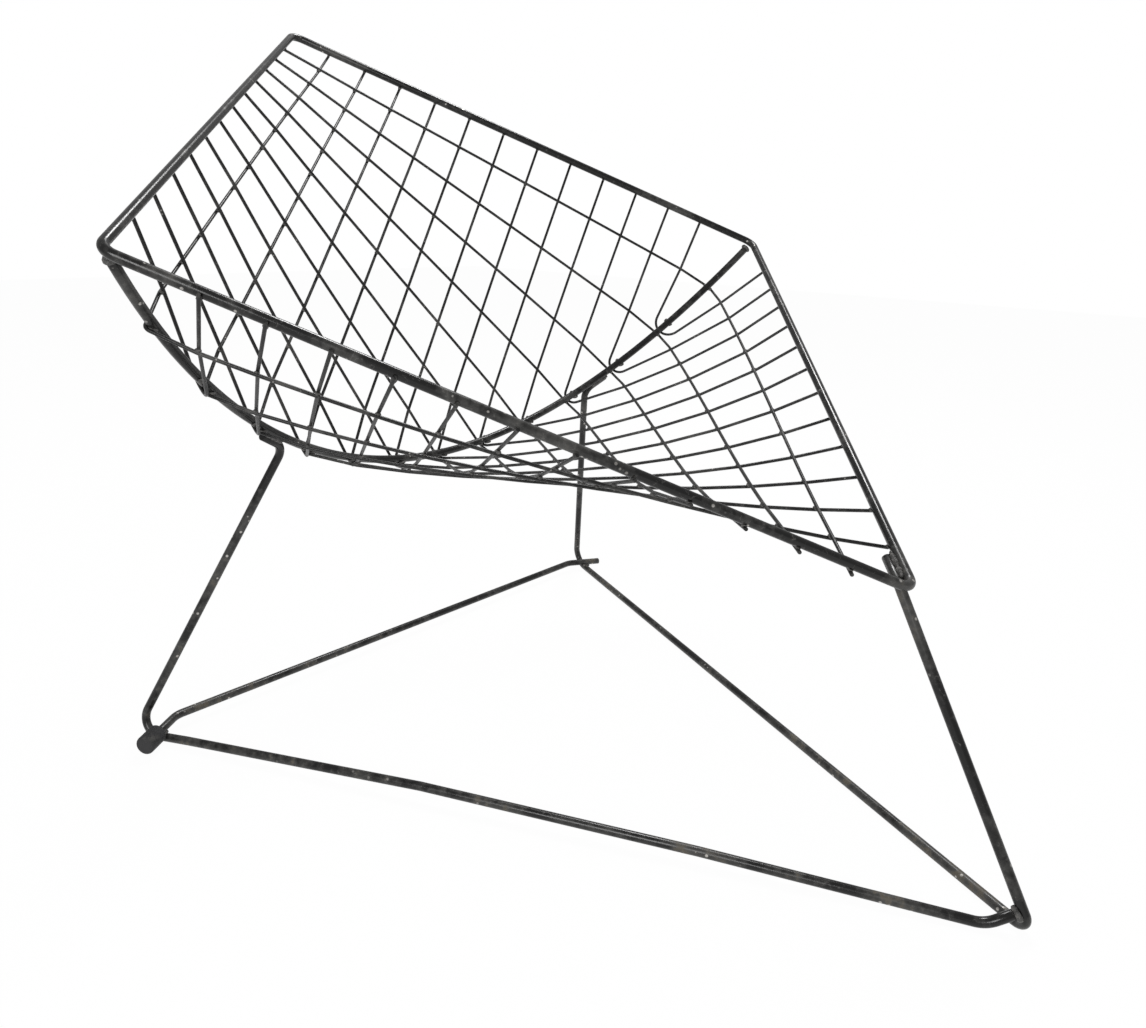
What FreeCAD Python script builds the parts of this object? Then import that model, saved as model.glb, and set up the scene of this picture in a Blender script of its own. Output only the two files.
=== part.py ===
import FreeCAD, Part
import math
import os
import Sketcher
from FreeCAD import Placement, Rotation, Vector

# Low lounge chair bent and welded from steel rod, with a seat bowl of straight wires.
# Millimetres, +Z up, +Y towards the back, the sitter faces -Y. X = 0 is the plane of symmetry.
# The origin is on the floor, midway between the foremost and rearmost points of the chair.

driving_sizes = [
    ("rod_diameter", 8, "bar of the rim, the seat arc and the base"),
    ("wire_diameter", 3, "wire of the net"),
    ("rod_flats", 20, "flats round a bar"),
    ("wire_flats", 8, "flats round a wire"),
    ("weld_gap", 0.05, "room left between pieces that are welded to each other"),
    ("rim_edge", 612, "side of the square rim, between corner centres"),
    ("rim_half_width", 420, "from the middle to the left or right corner of the rim"),
    ("rim_tilt", 30.7, "degrees by which the rim leans back"),
    ("wing_rise", 5, "left and right corners above the line between the back and the front corner"),
    ("rim_corner_radius", 12, "bend of the bar at the four corners of the rim"),
    ("wing_height", 464.5, "height of the left and right corners above the floor"),
    ("seat_arc_depth", 260, "from the rim's plane down to the lowest point of the seat arc"),
    ("seat_arc_turn", 1.9, "degrees by which the seat arc hangs nearer to the vertical than square to the rim"),
    ("seat_arc_fullness", 0.196, "0 is a parabola, more is a fuller curve"),
    ("wires_each_way", 12, "wires of the net in each direction"),
    ("back_first_wire", 46, "from the back corner to the first wire, along the rim"),
    ("back_wire_pitch", 44.9, "from wire to wire along the upper sides of the rim"),
    ("front_first_wire", 52, "from the front corner to the first wire, along the rim"),
    ("front_wire_pitch", 44.7, "from wire to wire along the lower sides of the rim"),
    ("hook_pitch", 64, "from wire to wire across the chair, under the middle of the seat arc"),
    ("outer_hook", 374, "outermost wire under the seat arc, from the middle"),
    ("least_bend", 0.6, "degrees of bend below which a wire runs straight past a crossing"),
    ("wire_overrun", 5, "length of wire past the middle of the bar that it is welded to"),
    ("seat_sag", 23.7, "how far the middle of the seat bulges below straight wires"),
    ("seat_sag_lean", 14, "degrees by which that bulge points forward of straight down"),
    ("seat_spread", 35, "how strongly the sides of the seat bulge outwards"),
    ("hook_bends", 4, "bends that take a wire round the seat arc"),
    ("net_gap", 0.3, "room between crossing wires"),
    ("front_foot_reach", 494.5, "front foot ahead of the rim's left and right corners"),
    ("rear_foot_reach", 187, "rear feet behind the rim's left and right corners"),
    ("rear_foot_spread", 339.5, "rear feet from the middle"),
    ("front_bend_radius", 9, "bend of the bar at the front foot"),
    ("rear_bend_radius", 17, "bend of the bar at the rear feet"),
    ("leg_top_radius", 14, "bend at the top of each rear leg"),
    ("leg_top_spread", 234.5, "middle of the welded leg tops from the middle of the chair"),
    ("leg_top_length", 22, "straight leg top that lies along the seat arc"),
    ("front_top_radius", 8, "bend at the top of the front leg"),
    ("front_top_start", 6, "from the plane of symmetry to the bend of the front leg, along the rim"),
    ("front_top_length", 28, "top of the front leg that lies along the rim"),
    ("front_top_angle", 52, "degrees round the rim's bar, from its inner side to its underside"),
    ("kink_to_foot", 30, "from the kink of the left runner to the front foot"),
    ("left_runner_end_height", 18.5, "where the left runner meets the front leg"),
    ("left_runner_bow", 9, "rise of the left runner above the floor, where it bows most"),
    ("left_runner_bow_place", 0.4, "share of the left runner from the rear foot to the top of its bow"),
    ("kink_radius", 24, "gentle kinks of the runners"),
    ("rear_runner_behind", 173.5, "rear runner behind the rim's left and right corners"),
    ("rear_kink_spread", 304, "kinks of the rear runner from the middle"),
    ("rear_left_overhang", 27, "left end of the rear runner past the left runner"),
    ("rear_left_turn", 32, "degrees by which the left end of the rear runner turns forward"),
    ("rear_right_overhang", 20, "right end of the rear runner past the right runner"),
    ("rear_right_turn", 30, "degrees by which the right end of the rear runner turns forward"),
    ("cap_diameter", 18, "rubber cap on the left end of the rear runner"),
    ("cap_grip", 20, "length of bar inside the cap"),
    ("cap_wall", 3, "end wall of the cap"),
    ("cap_edge", 2, "bevelled edge of the cap"),
]

doc = FreeCAD.newDocument("wire_mesh_chair")
sheet = doc.addObject("Spreadsheet::Sheet", "Sizes")
for row, (alias, value, note) in enumerate(driving_sizes, start=1):
    sheet.set("A%d" % row, note)
    sheet.set("B%d" % row, str(value))
    sheet.setAlias("B%d" % row, alias)
doc.recompute()


def size(alias):
    return float(sheet.get(alias))


rod_radius = size("rod_diameter") / 2
wire_radius = size("wire_diameter") / 2
weld_gap = size("weld_gap")
tilt = math.radians(size("rim_tilt"))
half_width = size("rim_half_width")
wire_count = int(size("wires_each_way"))
wing_rise = size("wing_rise")
half_length = math.sqrt(size("rim_edge") ** 2 - half_width ** 2 - wing_rise ** 2)
floor_line = rod_radius

# Directions of the rim: across the chair, up its slope to the back corner, and away from the sitter.
across = Vector(1, 0, 0)
upslope = Vector(0, math.cos(tilt), math.sin(tilt))
outward = Vector(0, math.sin(tilt), -math.cos(tilt))


def corner_inset(half_angle):
    """Distance from a corner's centre to the middle of the bend that rounds it."""
    return size("rim_corner_radius") * (1 / math.sin(half_angle) - 1)


wing_half_angle = math.atan2(half_length, half_width)
wing_inset = corner_inset(wing_half_angle)
back_inset = corner_inset(math.pi / 2 - wing_half_angle)

# The wings stand behind the origin by half the difference between the chair's reach to the front and back.
front_corner_reach = half_length * math.cos(tilt) - wing_rise * math.sin(tilt)
front_corner_height = size("wing_height") - half_length * math.sin(tilt) - wing_rise * math.cos(tilt)
leg_lean = math.atan2(size("front_foot_reach") - front_corner_reach, front_corner_height)
foot_half_angle = (math.pi / 2 - leg_lean) / 2
foot_bend_setback = size("front_bend_radius") / math.tan(foot_half_angle)
reach_forward = size("front_foot_reach") - foot_bend_setback + size("front_bend_radius") + rod_radius
reach_back = (half_length - back_inset) * math.cos(tilt) + wing_rise * math.sin(tilt) + rod_radius
wing_line = (reach_forward - reach_back) / 2

rim_centre = Vector(0, wing_line, size("wing_height"))
back_corner = rim_centre + upslope * half_length + outward * wing_rise
front_corner = rim_centre - upslope * half_length + outward * wing_rise
left_corner = rim_centre - across * half_width
right_corner = rim_centre + across * half_width


def mirrored(point):
    return Vector(-point.x, point.y, point.z)


# Bent bar and wire

# Two points or radii nearer to each other than this count as one
nothing = 0.001


def bent_path(points, radii):
    """A wire of straight runs through the points, with a tangent arc of the given radius at each turn."""
    edges = []
    start = points[0]
    for index in range(1, len(points) - 1):
        corner = points[index]
        into = (corner - points[index - 1]).normalize()
        away = (points[index + 1] - corner).normalize()
        turn = into.getAngle(away)
        setback = radii[index - 1] * math.tan(turn / 2)
        bisector = (away - into).normalize()
        first = corner - into * setback
        last = corner + away * setback
        middle = corner + bisector * radii[index - 1] * (1 / math.cos(turn / 2) - 1)
        if start.distanceToPoint(first) > nothing:
            edges.append(Part.LineSegment(start, first).toShape())
        edges.append(Part.Arc(first, middle, last).toShape())
        start = last
    if start.distanceToPoint(points[-1]) > nothing:
        edges.append(Part.LineSegment(start, points[-1]).toShape())
    return Part.Wire(edges)


def section_of(name, kind):
    """Bars and wires are round with narrow flats, so that the whole net stays light enough to be used."""
    section = doc.addObject("Part::RegularPolygon", name + "_section")
    section.setExpression("Polygon", "Sizes.%s_flats" % kind)
    section.setExpression("Circumradius", "Sizes.%s_diameter / 2" % kind)
    return section


def swept(name, route_shape, kind):
    """A bar along the route, mitred where the route has corners."""
    route = doc.addObject("Part::Feature", name + "_route")
    route.Shape = route_shape
    first_edge = route_shape.Edges[0]
    start = first_edge.valueAt(first_edge.FirstParameter)
    way = first_edge.tangentAt(first_edge.FirstParameter)
    section = section_of(name, kind)
    section.Placement = Placement(start, Rotation(Vector(0, 0, 1), way))
    bar = doc.addObject("Part::Sweep", name)
    bar.Label = name
    bar.Sections = [section]
    bar.Spine = (route, ["Edge%d" % number for number in range(1, len(route_shape.Edges) + 1)])
    bar.Solid = True
    bar.Transition = "Right corner"
    return bar


def bent_rod(name, points, radii):
    return swept(name, bent_path(points, radii), "rod")


# Rim frame: one bar bent to a closed square with rounded corners

side_middle = (right_corner + back_corner) / 2
rim_points = [side_middle, back_corner, left_corner, front_corner, right_corner, side_middle]
bent_rod("rim_frame", rim_points, [size("rim_corner_radius")] * 4)


# Seat arc: the bar that hangs between the wings, nearly square to the rim

arc_half_width = half_width - wing_inset
arc_lean = tilt - math.radians(size("seat_arc_turn"))
arc_drop = Vector(0, math.sin(arc_lean), -math.cos(arc_lean))
arc_depth = size("seat_arc_depth")
fullness = size("seat_arc_fullness")


def arc_point(x):
    """Middle of the bar at a distance x from the plane of symmetry, on a conic of the given fullness."""
    room = 1 - (x / arc_half_width) ** 2
    depth = 2 * room / ((1 - fullness) + math.sqrt((1 - fullness) ** 2 + 4 * fullness * room))
    return rim_centre + across * x + arc_drop * arc_depth * depth


def arc_tangent(x):
    """Direction of the bar towards +X."""
    depth = (arc_point(x) - rim_centre).dot(arc_drop) / arc_depth
    slope = -2 * x / arc_half_width ** 2 * arc_depth / (2 * fullness * depth + 1 - fullness)
    return (across + arc_drop * slope).normalize()


def hook_x(number):
    """Where left-hand wire number is hooked under the seat arc: the first one is furthest right."""
    middle = (wire_count + 2) / 2
    steps = middle - number
    shortfall = size("hook_pitch") * (middle - 1) - size("outer_hook")
    return size("hook_pitch") * steps - shortfall * (steps / (middle - 1)) ** 3


# The arc is bent in short steps, one at each hook and one midway to the next, and butts against the rim
inner_bend = size("rim_corner_radius") - rod_radius
corner_hollow = inner_bend - math.sqrt(inner_bend ** 2 - rod_radius ** 2)
arc_end_slope = arc_tangent(arc_half_width).dot(across)
arc_reach = arc_half_width - (rod_radius + 2 * weld_gap + corner_hollow * arc_end_slope) * arc_end_slope
arc_points = [arc_point(arc_reach)]
for step in range(2, 2 * (wire_count + 1) + 1):
    arc_points.append(arc_point(hook_x(step / 2)))
arc_points.append(arc_point(-arc_reach))
swept("seat_arc", Part.makePolygon(arc_points), "rod")


# Net: two families of wires stretched from the rim under the seat arc and on to the rim again

touch = rod_radius + wire_radius + weld_gap
layer = 2 * wire_radius + size("net_gap")
hook_lift = rod_radius * math.cos(math.pi / size("rod_flats")) + wire_radius * math.cos(math.pi / size("wire_flats"))
hook_lift += 2 * weld_gap
# The route of a hook depends on itself, so it is worked out this many times over
hook_rounds = 6
sag_lean = math.radians(size("seat_sag_lean"))
sag_way = Vector(0, -math.sin(sag_lean), -math.cos(sag_lean))
# Three shares that add up to 1 have a product of at most 1/27, so this brings the deepest bulge to 1
sag_peak = 27


def back_share(number):
    """Where wire number leaves an upper side of the rim, as a share of that side from the back corner."""
    return (size("back_first_wire") + size("back_wire_pitch") * (number - 1)) / size("rim_edge")


def front_share(number):
    """Where wire number ends on a lower side of the rim, as a share of that side from the front corner."""
    return (size("front_first_wire") + size("front_wire_pitch") * (number - 1)) / size("rim_edge")


def straight_crossing(corner, left_share, right_share, left_number, right_number):
    """Where a left-hand and a right-hand wire would cross if both ran straight from rim to hook."""
    left_start = corner + (left_corner - corner) * left_share
    right_start = corner + (right_corner - corner) * right_share
    left_way = arc_point(hook_x(left_number)) - left_start
    right_way = arc_point(-hook_x(right_number)) - right_start
    gap = right_start - left_start
    normal = left_way.cross(right_way)
    along_left = gap.cross(right_way).dot(normal) / normal.dot(normal)
    along_right = gap.cross(left_way).dot(normal) / normal.dot(normal)
    return (left_start + left_way * along_left + right_start + right_way * along_right) / 2


def back_crossing(left_number, right_number):
    return straight_crossing(back_corner, back_share(left_number), back_share(right_number),
                             left_number, right_number)


def seat_crossing(left_number, right_number):
    """In the seat the wires bulge below the straight lines, most of all in the middle and towards the sides."""
    left = left_number / (wire_count + 2)
    right = right_number / (wire_count + 2)
    weight = sag_peak * left * right * (1 - left - right)
    bulge = sag_way * size("seat_sag") - across * size("seat_spread") * (left - right)
    straight = straight_crossing(front_corner, front_share(left_number), front_share(right_number),
                                 left_number, right_number)
    return straight + bulge * weight


def lifted(crossing, left_number, right_number, lift):
    """The crossing moved away from the sitter by lift, square to the net."""
    step = 0.1
    own_way = crossing(left_number + step, right_number) - crossing(left_number - step, right_number)
    other_way = crossing(left_number, right_number + step) - crossing(left_number, right_number - step)
    return crossing(left_number, right_number) + away_from_sitter(own_way.cross(other_way)) * lift


def away_from_sitter(normal):
    sign = 1 if normal.dot(outward) > 0 else -1
    return normal * (sign / normal.Length)


def on_rim(rim_point, corner, towards):
    """Where a wire that comes from the point towards lies against the outer side of the rim's bar."""
    return rim_point + away_from_sitter((left_corner - corner).cross(towards - rim_point)) * touch


def straightened(points):
    """The points without those at which the wire would turn by less than the least bend."""
    kept = list(points)
    while len(kept) > 2:
        turns = []
        for before, corner, after in zip(kept, kept[1:], kept[2:]):
            turns.append((corner - before).getAngle(after - corner))
        if min(turns) > math.radians(size("least_bend")):
            break
        kept.pop(turns.index(min(turns)) + 1)
    return kept


def rounded_corner(before, corner, after, radius):
    """Points just outside the arc that rounds a corner, so that the wire's runs touch the arc."""
    into = (corner - before).normalize()
    away = (after - corner).normalize()
    turn = into.getAngle(away)
    centre = corner + (away - into).normalize() * (radius / math.cos(turn / 2))
    sideways = (corner - centre).normalize()
    forward = (into + away).normalize()
    count = int(size("hook_bends"))
    step = turn / count
    points = []
    for index in range(count):
        angle = step * (index + 0.5) - turn / 2
        spoke = sideways * math.cos(angle) + forward * math.sin(angle)
        points.append(centre + spoke * (radius / math.cos(step / 2)))
    return points


def wire_route(number, outer_layer):
    """Points of left-hand wire number from the upper rim to the lower rim."""
    lift = touch + layer * outer_layer
    others = range(1, wire_count + 2 - number)
    back_nodes = [lifted(back_crossing, number, other, lift) for other in others]
    seat_nodes = [lifted(seat_crossing, number, other, lift) for other in reversed(others)]
    lowest = arc_point(hook_x(number) - layer / 2)
    bar_way = arc_tangent(hook_x(number) - layer / 2)
    back_rim = back_corner + (left_corner - back_corner) * back_share(number)
    front_rim = front_corner + (left_corner - front_corner) * front_share(number)
    back_end = on_rim(back_rim, back_corner, back_nodes[0])
    front_end = on_rim(front_rim, front_corner, seat_nodes[-1])
    vertex = lowest
    for _ in range(hook_rounds):
        into = (vertex - back_nodes[-1]).normalize()
        away = (seat_nodes[0] - vertex).normalize()
        peak_way = (into - away).normalize()
        through_way = (into + away).normalize()
        lean = math.hypot(bar_way.dot(peak_way), bar_way.dot(through_way))
        hook_radius = hook_lift / math.sqrt(1 - lean ** 2)
        centre = lowest - bar_way * (hook_radius * lean)
        vertex = centre + peak_way * (hook_radius / math.cos(into.getAngle(away) / 2))
    overrun = size("wire_overrun")
    start = back_end + (back_end - back_nodes[0]).normalize() * overrun
    finish = front_end + (front_end - seat_nodes[-1]).normalize() * overrun
    hook_points = rounded_corner(back_nodes[-1], vertex, seat_nodes[0], hook_radius)
    return straightened([start] + back_nodes + hook_points + seat_nodes + [finish])


for number in range(1, wire_count + 1):
    left_route = wire_route(number, 0)
    right_route = [mirrored(point) for point in wire_route(number, 1)]
    swept("left_wire_%02d" % number, Part.makePolygon(left_route), "wire")
    swept("right_wire_%02d" % number, Part.makePolygon(right_route), "wire")


# Base: two side rods with the legs, and a rear runner laid over them

bar_pitch = size("rod_diameter") + weld_gap


def on_floor(x, y):
    """Middle of a bar that lies on the floor, from the plane of symmetry and from the rim's wings."""
    return Vector(x, wing_line + y, floor_line)


front_foot = on_floor(0, -size("front_foot_reach"))
right_foot = on_floor(size("rear_foot_spread"), size("rear_foot_reach"))
runner_way = (front_foot - right_foot).normalize()

# Each rear leg top lies under a straight run of the seat arc
top_x = size("leg_top_spread")
inner_end = max((point for point in arc_points if point.x < top_x), key=lambda point: point.x)
outer_end = min((point for point in arc_points if point.x > top_x), key=lambda point: point.x)
arc_way = (outer_end - inner_end).normalize()
arc_side = upslope.cross(arc_way).normalize()
on_arc = inner_end + arc_way * ((top_x - inner_end.x) / arc_way.x)
top_middle = on_arc + arc_side * bar_pitch
leg_turn = arc_way.getAngle(top_middle - right_foot)
top_setback = size("leg_top_radius") * math.tan(leg_turn / 2)
leg_top = top_middle - arc_way * (size("leg_top_length") / 2 + top_setback)
leg_top_end = top_middle + arc_way * (size("leg_top_length") / 2)

# The front leg runs up to the front corner and turns along the right side of the rim, inside and below it
rim_way = (right_corner - front_corner).normalize()
inner_way = rim_way.cross(outward).normalize()
round_angle = math.radians(size("front_top_angle"))
beside = inner_way * math.cos(round_angle) + outward * math.sin(round_angle)
beside_point = front_corner + beside * bar_pitch
front_top = beside_point + rim_way * (size("front_top_start") - beside_point.x / rim_way.x)
front_top_end = front_top + rim_way * size("front_top_length")

right_points = [leg_top_end, leg_top, right_foot, front_foot, front_top, front_top_end]
right_radii = [
    size("leg_top_radius"),
    size("rear_bend_radius"),
    size("front_bend_radius"),
    size("front_top_radius"),
]
bent_rod("right_side_rod", right_points, right_radii)

# The left runner kinks up near the front foot and butts against the front leg
left_foot = mirrored(right_foot)
kink = mirrored(front_foot - runner_way * size("kink_to_foot"))
leg_way = (front_top - front_foot).normalize()
meeting = front_foot + leg_way * ((size("left_runner_end_height") - floor_line) / leg_way.z)
approach = (meeting - kink).normalize()
butt_lean = abs(approach.dot(leg_way))
end_setback = rod_radius * (1 + butt_lean) / math.sqrt(1 - butt_lean ** 2) + 3 * weld_gap
bow_place = size("left_runner_bow_place")
# Share of the corner's height that the rounded bow reaches
bow_fullness = 0.6
bow_corner = left_foot + (kink - left_foot) * bow_place + Vector(0, 0, size("left_runner_bow") / bow_fullness)
bow_turn = (bow_corner - left_foot).getAngle(kink - bow_corner)
bow_radius = (bow_corner - left_foot).Length * 2 * (1 - bow_fullness) / math.tan(bow_turn / 2)
left_points = [mirrored(leg_top_end), mirrored(leg_top), left_foot, bow_corner, kink, meeting - approach * end_setback]
left_radii = [size("leg_top_radius"), size("rear_bend_radius"), bow_radius, size("kink_radius")]
bent_rod("left_side_rod", left_points, left_radii)

# The rear runner lies on both side rods and turns forward a little at its ends


def rear_end(side, side_way, turn_alias, overhang_alias):
    """Kink, end and direction of the rear runner on one side, -1 for left and 1 for right.

    side_way is the direction in which the rod of that side leaves its rear foot.
    """
    turn = math.radians(size(turn_alias))
    way = Vector(side * math.cos(turn), -math.sin(turn), 0)
    square = Vector(side_way.y, -side_way.x, 0)
    foot = Vector(side * right_foot.x, right_foot.y, floor_line)
    kink = on_floor(side * size("rear_kink_spread"), size("rear_runner_behind"))
    reach = (foot - kink).dot(square) / way.dot(square)
    rise = side_way.z / side_way.y * (kink + way * reach - foot).y
    kink.z += rise + bar_pitch
    return kink, kink + way * (reach + size(overhang_alias)), way


left_kink, left_end, left_end_way = rear_end(-1, bow_corner - left_foot, "rear_left_turn", "rear_left_overhang")
right_kink, right_end, _ = rear_end(1, runner_way, "rear_right_turn", "rear_right_overhang")
bent_rod("rear_runner", [left_end, left_kink, right_kink, right_end], [size("kink_radius")] * 2)


# Rubber cap on the left end of the rear runner


def make_cap():
    body = doc.addObject("PartDesign::Body", "end_cap")
    body.Label = "end_cap"
    plane = next(feature for feature in body.Origin.OriginFeatures if feature.Role == "XZ_Plane")
    sketch = body.newObject("Sketcher::SketchObject", "end_cap_profile")
    sketch.AttachmentSupport = [(plane, "")]
    sketch.MapMode = "FlatFace"
    bore = rod_radius + weld_gap
    outer = size("cap_diameter") / 2
    grip = size("cap_grip")
    wall = size("cap_wall")
    corners = [(0, 0), (0, wall), (outer, wall), (outer, -grip), (bore, -grip), (bore, 0)]
    count = len(corners)
    for index in range(count):
        start = Vector(*corners[index], 0)
        end = Vector(*corners[(index + 1) % count], 0)
        sketch.addGeometry(Part.LineSegment(start, end))
    for index in range(count):
        sketch.addConstraint(Sketcher.Constraint("Coincident", index, 2, (index + 1) % count, 1))
    for index in (0, 2, 4):
        sketch.addConstraint(Sketcher.Constraint("Vertical", index))
    for index in (1, 3, 5):
        sketch.addConstraint(Sketcher.Constraint("Horizontal", index))
    sketch.addConstraint(Sketcher.Constraint("Coincident", 0, 1, -1, 1))
    measures = [
        ("DistanceY", 0, 1, 0, 2, wall, "Sizes.cap_wall"),
        ("DistanceX", 0, 2, 1, 2, outer, "Sizes.cap_diameter / 2"),
        ("DistanceX", 5, 2, 5, 1, bore, "Sizes.rod_diameter / 2 + Sizes.weld_gap"),
        ("DistanceY", 4, 1, 4, 2, grip, "Sizes.cap_grip"),
    ]
    for kind, first, first_end, second, second_end, value, rule in measures:
        number = sketch.addConstraint(Sketcher.Constraint(kind, first, first_end, second, second_end, value))
        sketch.setExpression("Constraints[%d]" % number, rule)
    turned = body.newObject("PartDesign::Revolution", "end_cap_turned")
    turned.Profile = sketch
    turned.ReferenceAxis = (sketch, ["V_Axis"])
    turned.Angle = 360
    body.Placement = Placement(left_end + left_end_way * weld_gap, Rotation(Vector(0, 0, 1), left_end_way))
    doc.recompute()
    eased = body.newObject("PartDesign::Chamfer", "end_cap_edges")
    rims = []
    for number, edge in enumerate(turned.Shape.Edges, start=1):
        if len(edge.Vertexes) == 1 and abs(edge.Curve.Radius - outer) < nothing:
            rims.append("Edge%d" % number)
    eased.Base = (turned, rims)
    eased.setExpression("Size", "Sizes.cap_edge")
    return body


make_cap()
doc.recompute()


# Check every object, then write one file for each piece

pieces = [item for item in doc.Objects if item.TypeId in ("Part::Sweep", "PartDesign::Body")]
for item in doc.Objects:
    if "Invalid" in item.State or "Error" in item.State:
        raise RuntimeError("%s failed: %s" % (item.Name, item.State))
for piece in pieces:
    if piece.Shape.isNull() or not piece.Shape.isValid() or len(piece.Shape.Solids) != 1:
        raise RuntimeError("%s has no valid solid" % piece.Label)

os.makedirs("parts", exist_ok=True)
for piece in pieces:
    piece.Shape.exportStep(os.path.join("parts", piece.Label + ".step"))
print("%d pieces written" % len(pieces))
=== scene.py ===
import math
import bpy
from mathutils import Matrix, Vector


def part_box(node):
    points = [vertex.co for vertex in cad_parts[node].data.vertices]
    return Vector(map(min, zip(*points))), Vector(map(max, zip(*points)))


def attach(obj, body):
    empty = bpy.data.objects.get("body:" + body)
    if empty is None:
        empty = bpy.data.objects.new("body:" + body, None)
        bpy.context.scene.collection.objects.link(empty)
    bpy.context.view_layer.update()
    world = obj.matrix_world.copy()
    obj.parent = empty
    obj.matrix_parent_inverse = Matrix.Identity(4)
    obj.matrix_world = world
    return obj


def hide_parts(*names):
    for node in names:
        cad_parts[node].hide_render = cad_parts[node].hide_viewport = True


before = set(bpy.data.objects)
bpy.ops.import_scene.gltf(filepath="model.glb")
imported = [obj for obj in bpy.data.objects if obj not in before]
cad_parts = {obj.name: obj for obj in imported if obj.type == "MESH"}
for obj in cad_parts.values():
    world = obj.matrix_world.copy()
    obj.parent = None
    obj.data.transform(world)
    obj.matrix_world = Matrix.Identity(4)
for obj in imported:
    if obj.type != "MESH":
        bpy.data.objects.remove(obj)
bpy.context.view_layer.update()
print("chair frame loaded")

# Sizes of the chair are in millimetres and degrees, and become metres where a mesh is made
# Finishes, lamps and the floor are in metres

metresPerMillimetre = 0.001
across = Vector((1, 0, 0))
upright = Vector((0, 0, 1))

# Bar and wire that the chair is welded from

stockValues = {
    "barDiameter": 8,
    "barSides": 28,
    "wireDiameter": 3,
    "wireSides": 12,
    "turnStep": 5,  # degrees from ring to ring in a bend
    "cutBevel": 0.5,  # eased edge of a sawn end
    "cutTaper": 0.88,  # width left at the very end
    "weldGap": 0.05,
}
barRadius = stockValues["barDiameter"] / 2
wireRadius = stockValues["wireDiameter"] / 2
weldGap = stockValues["weldGap"]
nearby = 0.1  # step over which a direction is taken


def mirrored(point):
    return Vector((-point.x, point.y, point.z))


def arcPoints(centre, sideways, forward, radius, turn):
    count = max(2, math.ceil(turn / math.radians(stockValues["turnStep"])))
    angles = [turn * (index / count - 0.5) for index in range(count + 1)]
    return [centre + (sideways * math.cos(angle) + forward * math.sin(angle)) * radius for angle in angles]


def bentPath(corners, radii):  # straight runs with a round bend at each inner corner
    path = [corners[0]]
    for before, corner, after, radius in zip(corners, corners[1:], corners[2:], radii):
        into = (corner - before).normalized()
        away = (after - corner).normalized()
        turn = into.angle(away)
        centre = corner + (away - into).normalized() * (radius / math.cos(turn / 2))
        path += arcPoints(centre, (corner - centre).normalized(), (into + away).normalized(), radius, turn)
    return path + [corners[-1]]


# Rim frame

rimValues = {
    "edge": 612,
    "halfWidth": 420,
    "tilt": 30.7,
    "wingRise": 5,
    "cornerRadius": 12,
    "wingHeight": 464.5,
}
tilt = math.radians(rimValues["tilt"])
halfWidth = rimValues["halfWidth"]
wingRise = rimValues["wingRise"]
halfLength = math.sqrt(rimValues["edge"] ** 2 - halfWidth ** 2 - wingRise ** 2)
upslope = Vector((0, math.cos(tilt), math.sin(tilt)))
outward = Vector((0, math.sin(tilt), -math.cos(tilt)))
wingLine = sum(corner[1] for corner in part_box("rim_frame")) / 2 / metresPerMillimetre
wingLine -= wingRise * math.sin(tilt)
rimCentre = Vector((0, wingLine, rimValues["wingHeight"]))
backCorner = rimCentre + upslope * halfLength + outward * wingRise
frontCorner = rimCentre - upslope * halfLength + outward * wingRise
leftCorner = rimCentre - across * halfWidth
rightCorner = rimCentre + across * halfWidth
rimStart = (rightCorner + backCorner) / 2
rimCorners = [rimStart, backCorner, leftCorner, frontCorner, rightCorner, rimStart]
rimPath = bentPath(rimCorners, [rimValues["cornerRadius"]] * 4)[:-1]

# Seat arc

arcValues = {
    "depth": 260,
    "turn": 1.9,
    "fullness": 0.196,
    "runs": 96,
    "buttSetback": 4.8,  # the ends butt against the inner side of the rim
}
arcLean = tilt - math.radians(arcValues["turn"])
arcDrop = Vector((0, math.sin(arcLean), -math.cos(arcLean)))
wingHalfAngle = math.atan2(halfLength, halfWidth)
arcHalfWidth = halfWidth - rimValues["cornerRadius"] * (1 / math.sin(wingHalfAngle) - 1)


def arcPoint(x):  # a conic, fuller than a parabola
    fullness = arcValues["fullness"]
    room = 1 - (x / arcHalfWidth) ** 2
    depth = 2 * room / ((1 - fullness) + math.sqrt((1 - fullness) ** 2 + 4 * fullness * room))
    return rimCentre + across * x + arcDrop * (arcValues["depth"] * depth)


def arcTangent(x):
    return (arcPoint(x + nearby) - arcPoint(x - nearby)).normalized()


arcReach = arcHalfWidth - arcValues["buttSetback"]
arcPath = [arcPoint(arcReach * (1 - 2 * index / arcValues["runs"])) for index in range(arcValues["runs"] + 1)]

# Net of wires, hooked under the seat arc

netValues = {
    "wiresEachWay": 12,
    "backFirst": 46,
    "backPitch": 44.9,
    "frontFirst": 52,
    "frontPitch": 44.7,
    "hookPitch": 64,
    "outerHook": 374,
    "backOverrun": -1,
    "frontOverrun": (5, -1),  # inner family, outer family
    "sag": 23.7,
    "sagLean": 14,
    "spread": 35,
    "crossingRoom": 0.3,
    "hookRounds": 6,  # rounds in which a hook's own direction settles
}
wireCount = netValues["wiresEachWay"]
touch = barRadius + wireRadius + weldGap
layer = 2 * wireRadius + netValues["crossingRoom"]
sagLean = math.radians(netValues["sagLean"])
sagWay = Vector((0, -math.sin(sagLean), -math.cos(sagLean)))
sagPeak = 27  # three shares that add up to 1 multiply to at most 1/27


def hookPlace(number):
    middle = (wireCount + 2) / 2
    steps = middle - number
    shortfall = netValues["hookPitch"] * (middle - 1) - netValues["outerHook"]
    return netValues["hookPitch"] * steps - shortfall * (steps / (middle - 1)) ** 3


def backShare(number):
    return (netValues["backFirst"] + netValues["backPitch"] * (number - 1)) / rimValues["edge"]


def frontShare(number):
    return (netValues["frontFirst"] + netValues["frontPitch"] * (number - 1)) / rimValues["edge"]


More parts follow.
